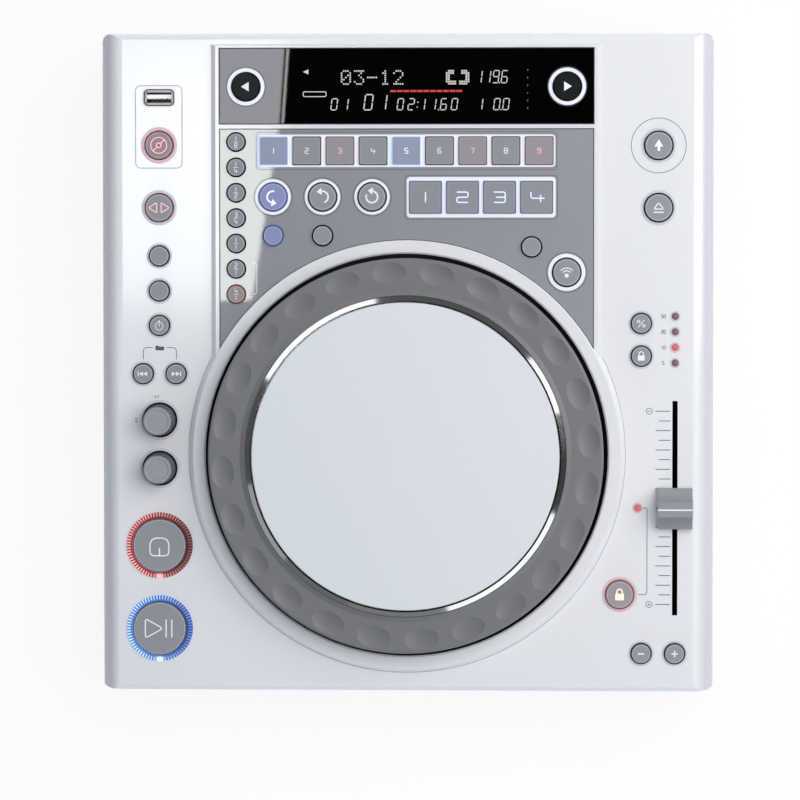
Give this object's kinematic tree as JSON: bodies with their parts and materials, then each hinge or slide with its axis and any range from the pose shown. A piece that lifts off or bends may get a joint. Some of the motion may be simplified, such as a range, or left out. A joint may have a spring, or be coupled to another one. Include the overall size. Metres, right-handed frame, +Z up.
{
  "type": "tabletop dj cd player",
  "caption": "Tabletop disc player for DJs: a sloped gloss white case with a large jog wheel, lit keys, a display and a pitch fader, and a slot-in disc drive at the front.",
  "frame": {"origin": "on the table, below the centre of the case's plan", "axes": "+Z up, +Y to the rear of the player, +X to the user's right; the panel rises to the rear"},
  "size_m": [0.31, 0.332, 0.0993],
  "materials": {
    "housing_white": "high gloss white ABS",
    "lower_grey": "fine textured",
    "plate_grey": "gloss grey",
    "window_black": "piano black acrylic",
    "display_glass": "smoked",
    "board_green": "solder mask",
    "switch_black": "moulded",
    "light_clear": "frosted clear",
    "foot_rubber": "matte",
    "screw_steel": "zinc plated",
    "socket_metal": "nickel plated",
    "panel_black": "fine textured",
    "sheet_steel": "galvanised",
    "key_grey": "satin",
    "key_black": "satin black",
    "knob_grey": "satin",
    "cap_grey": "satin",
    "grip_rubber": "matte moulded",
    "rim_chrome": "mirror polished",
    "plate_pale": "pale satin, lightly spun",
    "rocker_black": "gloss",
    "roller_rubber": "matte",
    "hub_black": "moulded",
    "sled_black": "glass filled",
    "gear_white": "acetal"
  },
  "bodies": {
    "case": {"top_housing": "housing_white", "bottom_housing": "lower_grey", "control_panel": "plate_grey", "display_window": "window_black", "display_module": "display_glass", "circuit_boards": "board_green", "key_switches": "switch_black", "light_guides": "light_clear", "rubber_feet": "foot_rubber", "housing_screws": "screw_steel", "rear_panel": "panel_black", "rear_sockets": "socket_metal", "usb_port": "socket_metal", "fader_body": "sheet_steel", "rotary_encoders": "sheet_steel", "jog_bearing": "screw_steel", "drive_frame": "sheet_steel"},
    "track_left_key_body": {"track_left_key": "key_black"},
    "track_right_key_body": {"track_right_key": "key_black"},
    "loop_in_key_body": {"loop_in_key": "key_grey"},
    "loop_out_key_body": {"loop_out_key": "key_grey"},
    "reloop_key_body": {"reloop_key": "key_grey"},
    "tap_key_body": {"tap_key": "key_grey"},
    "mode_key_body": {"mode_key": "key_grey"},
    "reverse_key_body": {"reverse_key": "key_grey"},
    "shift_key_body": {"shift_key": "key_grey"},
    "eject_key_body": {"eject_key": "key_grey"},
    "pitch_lock_key_body": {"pitch_lock_key": "key_grey"},
    "cue_key_body": {"cue_key": "key_grey"},
    "play_key_body": {"play_key": "key_grey"},
    "save_key_body": {"save_key": "key_grey"},
    "sampler_key_body": {"sampler_key": "key_grey"},
    "sync_key_body": {"sync_key": "key_grey"},
    "bank_key_body": {"bank_key": "key_grey"},
    "single_key_body": {"single_key": "key_grey"},
    "menu_key_body": {"menu_key": "key_grey"},
    "previous_key_body": {"previous_key": "key_grey"},
    "next_key_body": {"next_key": "key_grey"},
    "range_key_body": {"range_key": "key_grey"},
    "key_lock_key_body": {"key_lock_key": "key_grey"},
    "bend_minus_key_body": {"bend_minus_key": "key_grey"},
    "bend_plus_key_body": {"bend_plus_key": "key_grey"},
    "pad_1_body": {"pad_1": "key_grey"},
    "pad_2_body": {"pad_2": "key_grey"},
    "pad_3_body": {"pad_3": "key_grey"},
    "pad_4_body": {"pad_4": "key_grey"},
    "fx_keys_body": {"fx_keys": "key_grey"},
    "beat_keys_body": {"beat_keys": "key_grey"},
    "fader": {"fader_lever": "sheet_steel", "fader_cap": "cap_grey"},
    "search_knob_body": {"search_knob": "knob_grey"},
    "trax_knob_body": {"trax_knob": "knob_grey"},
    "jog_wheel": {"jog_platter": "rim_chrome", "jog_grip_ring": "grip_rubber", "jog_top_plate": "plate_pale"},
    "rocker": {"power_rocker": "rocker_black"},
    "roller": {"feed_roller": "roller_rubber"},
    "hub": {"disc_hub": "hub_black"},
    "sled": {"laser_sled": "sled_black"},
    "gear": {"sled_gear": "gear_white"}
  },
  "joints": [
    {"name": "track_left_key_press", "type": "slide", "parent": "case", "child": "track_left_key_body", "axis": [0, 0.0601, -0.9982], "range_m": [0, 0.001], "stiffness_N_per_m": 300, "springref_m": -0.0005},
    {"name": "track_right_key_press", "type": "slide", "parent": "case", "child": "track_right_key_body", "axis": [0, 0.0601, -0.9982], "range_m": [0, 0.001], "stiffness_N_per_m": 300, "springref_m": -0.0005},
    {"name": "loop_in_key_press", "type": "slide", "parent": "case", "child": "loop_in_key_body", "axis": [0, 0.0601, -0.9982], "range_m": [0, 0.001], "stiffness_N_per_m": 300, "springref_m": -0.0005},
    {"name": "loop_out_key_press", "type": "slide", "parent": "case", "child": "loop_out_key_body", "axis": [0, 0.0601, -0.9982], "range_m": [0, 0.001], "stiffness_N_per_m": 300, "springref_m": -0.0005},
    {"name": "reloop_key_press", "type": "slide", "parent": "case", "child": "reloop_key_body", "axis": [0, 0.0601, -0.9982], "range_m": [0, 0.001], "stiffness_N_per_m": 300, "springref_m": -0.0005},
    {"name": "tap_key_press", "type": "slide", "parent": "case", "child": "tap_key_body", "axis": [0, 0.0601, -0.9982], "range_m": [0, 0.001], "stiffness_N_per_m": 300, "springref_m": -0.0005},
    {"name": "mode_key_press", "type": "slide", "parent": "case", "child": "mode_key_body", "axis": [0, 0.0601, -0.9982], "range_m": [0, 0.001], "stiffness_N_per_m": 300, "springref_m": -0.0005},
    {"name": "reverse_key_press", "type": "slide", "parent": "case", "child": "reverse_key_body", "axis": [0, 0.0601, -0.9982], "range_m": [0, 0.001], "stiffness_N_per_m": 300, "springref_m": -0.0005},
    {"name": "shift_key_press", "type": "slide", "parent": "case", "child": "shift_key_body", "axis": [0, 0.0601, -0.9982], "range_m": [0, 0.001], "stiffness_N_per_m": 300, "springref_m": -0.0005},
    {"name": "eject_key_press", "type": "slide", "parent": "case", "child": "eject_key_body", "axis": [0, 0.0601, -0.9982], "range_m": [0, 0.001], "stiffness_N_per_m": 300, "springref_m": -0.0005},
    {"name": "pitch_lock_key_press", "type": "slide", "parent": "case", "child": "pitch_lock_key_body", "axis": [0, 0.0601, -0.9982], "range_m": [0, 0.001], "stiffness_N_per_m": 300, "springref_m": -0.0005},
    {"name": "cue_key_press", "type": "slide", "parent": "case", "child": "cue_key_body", "axis": [0, 0.0601, -0.9982], "range_m": [0, 0.001], "stiffness_N_per_m": 600, "springref_m": -0.0005},
    {"name": "play_key_press", "type": "slide", "parent": "case", "child": "play_key_body", "axis": [0, 0.0601, -0.9982], "range_m": [0, 0.001], "stiffness_N_per_m": 600, "springref_m": -0.0005},
    {"name": "save_key_press", "type": "slide", "parent": "case", "child": "save_key_body", "axis": [0, 0.0601, -0.9982], "range_m": [0, 0.001], "stiffness_N_per_m": 300, "springref_m": -0.0005},
    {"name": "sampler_key_press", "type": "slide", "parent": "case", "child": "sampler_key_body", "axis": [0, 0.0601, -0.9982], "range_m": [0, 0.001], "stiffness_N_per_m": 300, "springref_m": -0.0005},
    {"name": "sync_key_press", "type": "slide", "parent": "case", "child": "sync_key_body", "axis": [0, 0.0601, -0.9982], "range_m": [0, 0.001], "stiffness_N_per_m": 300, "springref_m": -0.0005},
    {"name": "bank_key_press", "type": "slide", "parent": "case", "child": "bank_key_body", "axis": [0, 0.0601, -0.9982], "range_m": [0, 0.001], "stiffness_N_per_m": 300, "springref_m": -0.0005},
    {"name": "single_key_press", "type": "slide", "parent": "case", "child": "single_key_body", "axis": [0, 0.0601, -0.9982], "range_m": [0, 0.001], "stiffness_N_per_m": 300, "springref_m": -0.0005},
    {"name": "menu_key_press", "type": "slide", "parent": "case", "child": "menu_key_body", "axis": [0, 0.0601, -0.9982], "range_m": [0, 0.001], "stiffness_N_per_m": 300, "springref_m": -0.0005},
    {"name": "previous_key_press", "type": "slide", "parent": "case", "child": "previous_key_body", "axis": [0, 0.0601, -0.9982], "range_m": [0, 0.001], "stiffness_N_per_m": 300, "springref_m": -0.0005},
    {"name": "next_key_press", "type": "slide", "parent": "case", "child": "next_key_body", "axis": [0, 0.0601, -0.9982], "range_m": [0, 0.001], "stiffness_N_per_m": 300, "springref_m": -0.0005},
    {"name": "range_key_press", "type": "slide", "parent": "case", "child": "range_key_body", "axis": [0, 0.0601, -0.9982], "range_m": [0, 0.001], "stiffness_N_per_m": 300, "springref_m": -0.0005},
    {"name": "key_lock_key_press", "type": "slide", "parent": "case", "child": "key_lock_key_body", "axis": [0, 0.0601, -0.9982], "range_m": [0, 0.001], "stiffness_N_per_m": 300, "springref_m": -0.0005},
    {"name": "bend_minus_key_press", "type": "slide", "parent": "case", "child": "bend_minus_key_body", "axis": [0, 0.0601, -0.9982], "range_m": [0, 0.001], "stiffness_N_per_m": 300, "springref_m": -0.0005},
    {"name": "bend_plus_key_press", "type": "slide", "parent": "case", "child": "bend_plus_key_body", "axis": [0, 0.0601, -0.9982], "range_m": [0, 0.001], "stiffness_N_per_m": 300, "springref_m": -0.0005},
    {"name": "pad_1_press", "type": "slide", "parent": "case", "child": "pad_1_body", "axis": [0, 0.0601, -0.9982], "range_m": [0, 0.001], "stiffness_N_per_m": 300, "springref_m": -0.0005},
    {"name": "pad_2_press", "type": "slide", "parent": "case", "child": "pad_2_body", "axis": [0, 0.0601, -0.9982], "range_m": [0, 0.001], "stiffness_N_per_m": 300, "springref_m": -0.0005},
    {"name": "pad_3_press", "type": "slide", "parent": "case", "child": "pad_3_body", "axis": [0, 0.0601, -0.9982], "range_m": [0, 0.001], "stiffness_N_per_m": 300, "springref_m": -0.0005},
    {"name": "pad_4_press", "type": "slide", "parent": "case", "child": "pad_4_body", "axis": [0, 0.0601, -0.9982], "range_m": [0, 0.001], "stiffness_N_per_m": 300, "springref_m": -0.0005},
    {"name": "fx_keys_press", "type": "slide", "parent": "case", "child": "fx_keys_body", "axis": [0, 0.0601, -0.9982], "range_m": [0, 0.001], "stiffness_N_per_m": 600, "springref_m": -0.0005},
    {"name": "beat_keys_press", "type": "slide", "parent": "case", "child": "beat_keys_body", "axis": [0, 0.0601, -0.9982], "range_m": [0, 0.001], "stiffness_N_per_m": 600, "springref_m": -0.0005},
    {"name": "fader_slide", "type": "slide", "parent": "case", "child": "fader", "axis": [0, 0.9982, 0.0601], "range_m": [-0.05, 0.05]},
    {"name": "search_knob_turn", "type": "hinge", "parent": "case", "child": "search_knob_body", "pos_m": [-0.1253, -0.02905, 0.07625], "axis": [0, -0.0601, 0.9982], "continuous": true},
    {"name": "trax_knob_turn", "type": "hinge", "parent": "case", "child": "trax_knob_body", "pos_m": [-0.1253, -0.0535, 0.07478], "axis": [0, -0.0601, 0.9982], "continuous": true},
    {"name": "jog_turn", "type": "hinge", "parent": "case", "child": "jog_wheel", "pos_m": [0, -0.04642, 0.0752], "axis": [0, -0.0601, 0.9982], "continuous": true},
    {"name": "rocker_tilt", "type": "hinge", "parent": "case", "child": "rocker", "pos_m": [-0.042, 0.151, 0.05], "axis": [-1, 0, 0], "range_deg": [0, 20]},
    {"name": "roller_turn", "type": "hinge", "parent": "case", "child": "roller", "pos_m": [0, -0.1525, 0.04], "axis": [1, 0, 0], "continuous": true},
    {"name": "hub_turn", "type": "hinge", "parent": "case", "child": "hub", "pos_m": [0, -0.0975, 0.046], "axis": [0, 0, 1], "continuous": true},
    {"name": "sled_slide", "type": "slide", "parent": "case", "child": "sled", "axis": [0, 1, 0], "range_m": [0, 0.034]},
    {"name": "gear_turn", "type": "hinge", "parent": "case", "child": "gear", "pos_m": [0.032, -0.0565, 0.0335], "axis": [0, 0, 1], "range_deg": [-245, 0]}
  ],
  "couplings": [
    {"joint": "gear_turn", "follows": "sled_slide", "rad_per_m": -125}
  ]
}
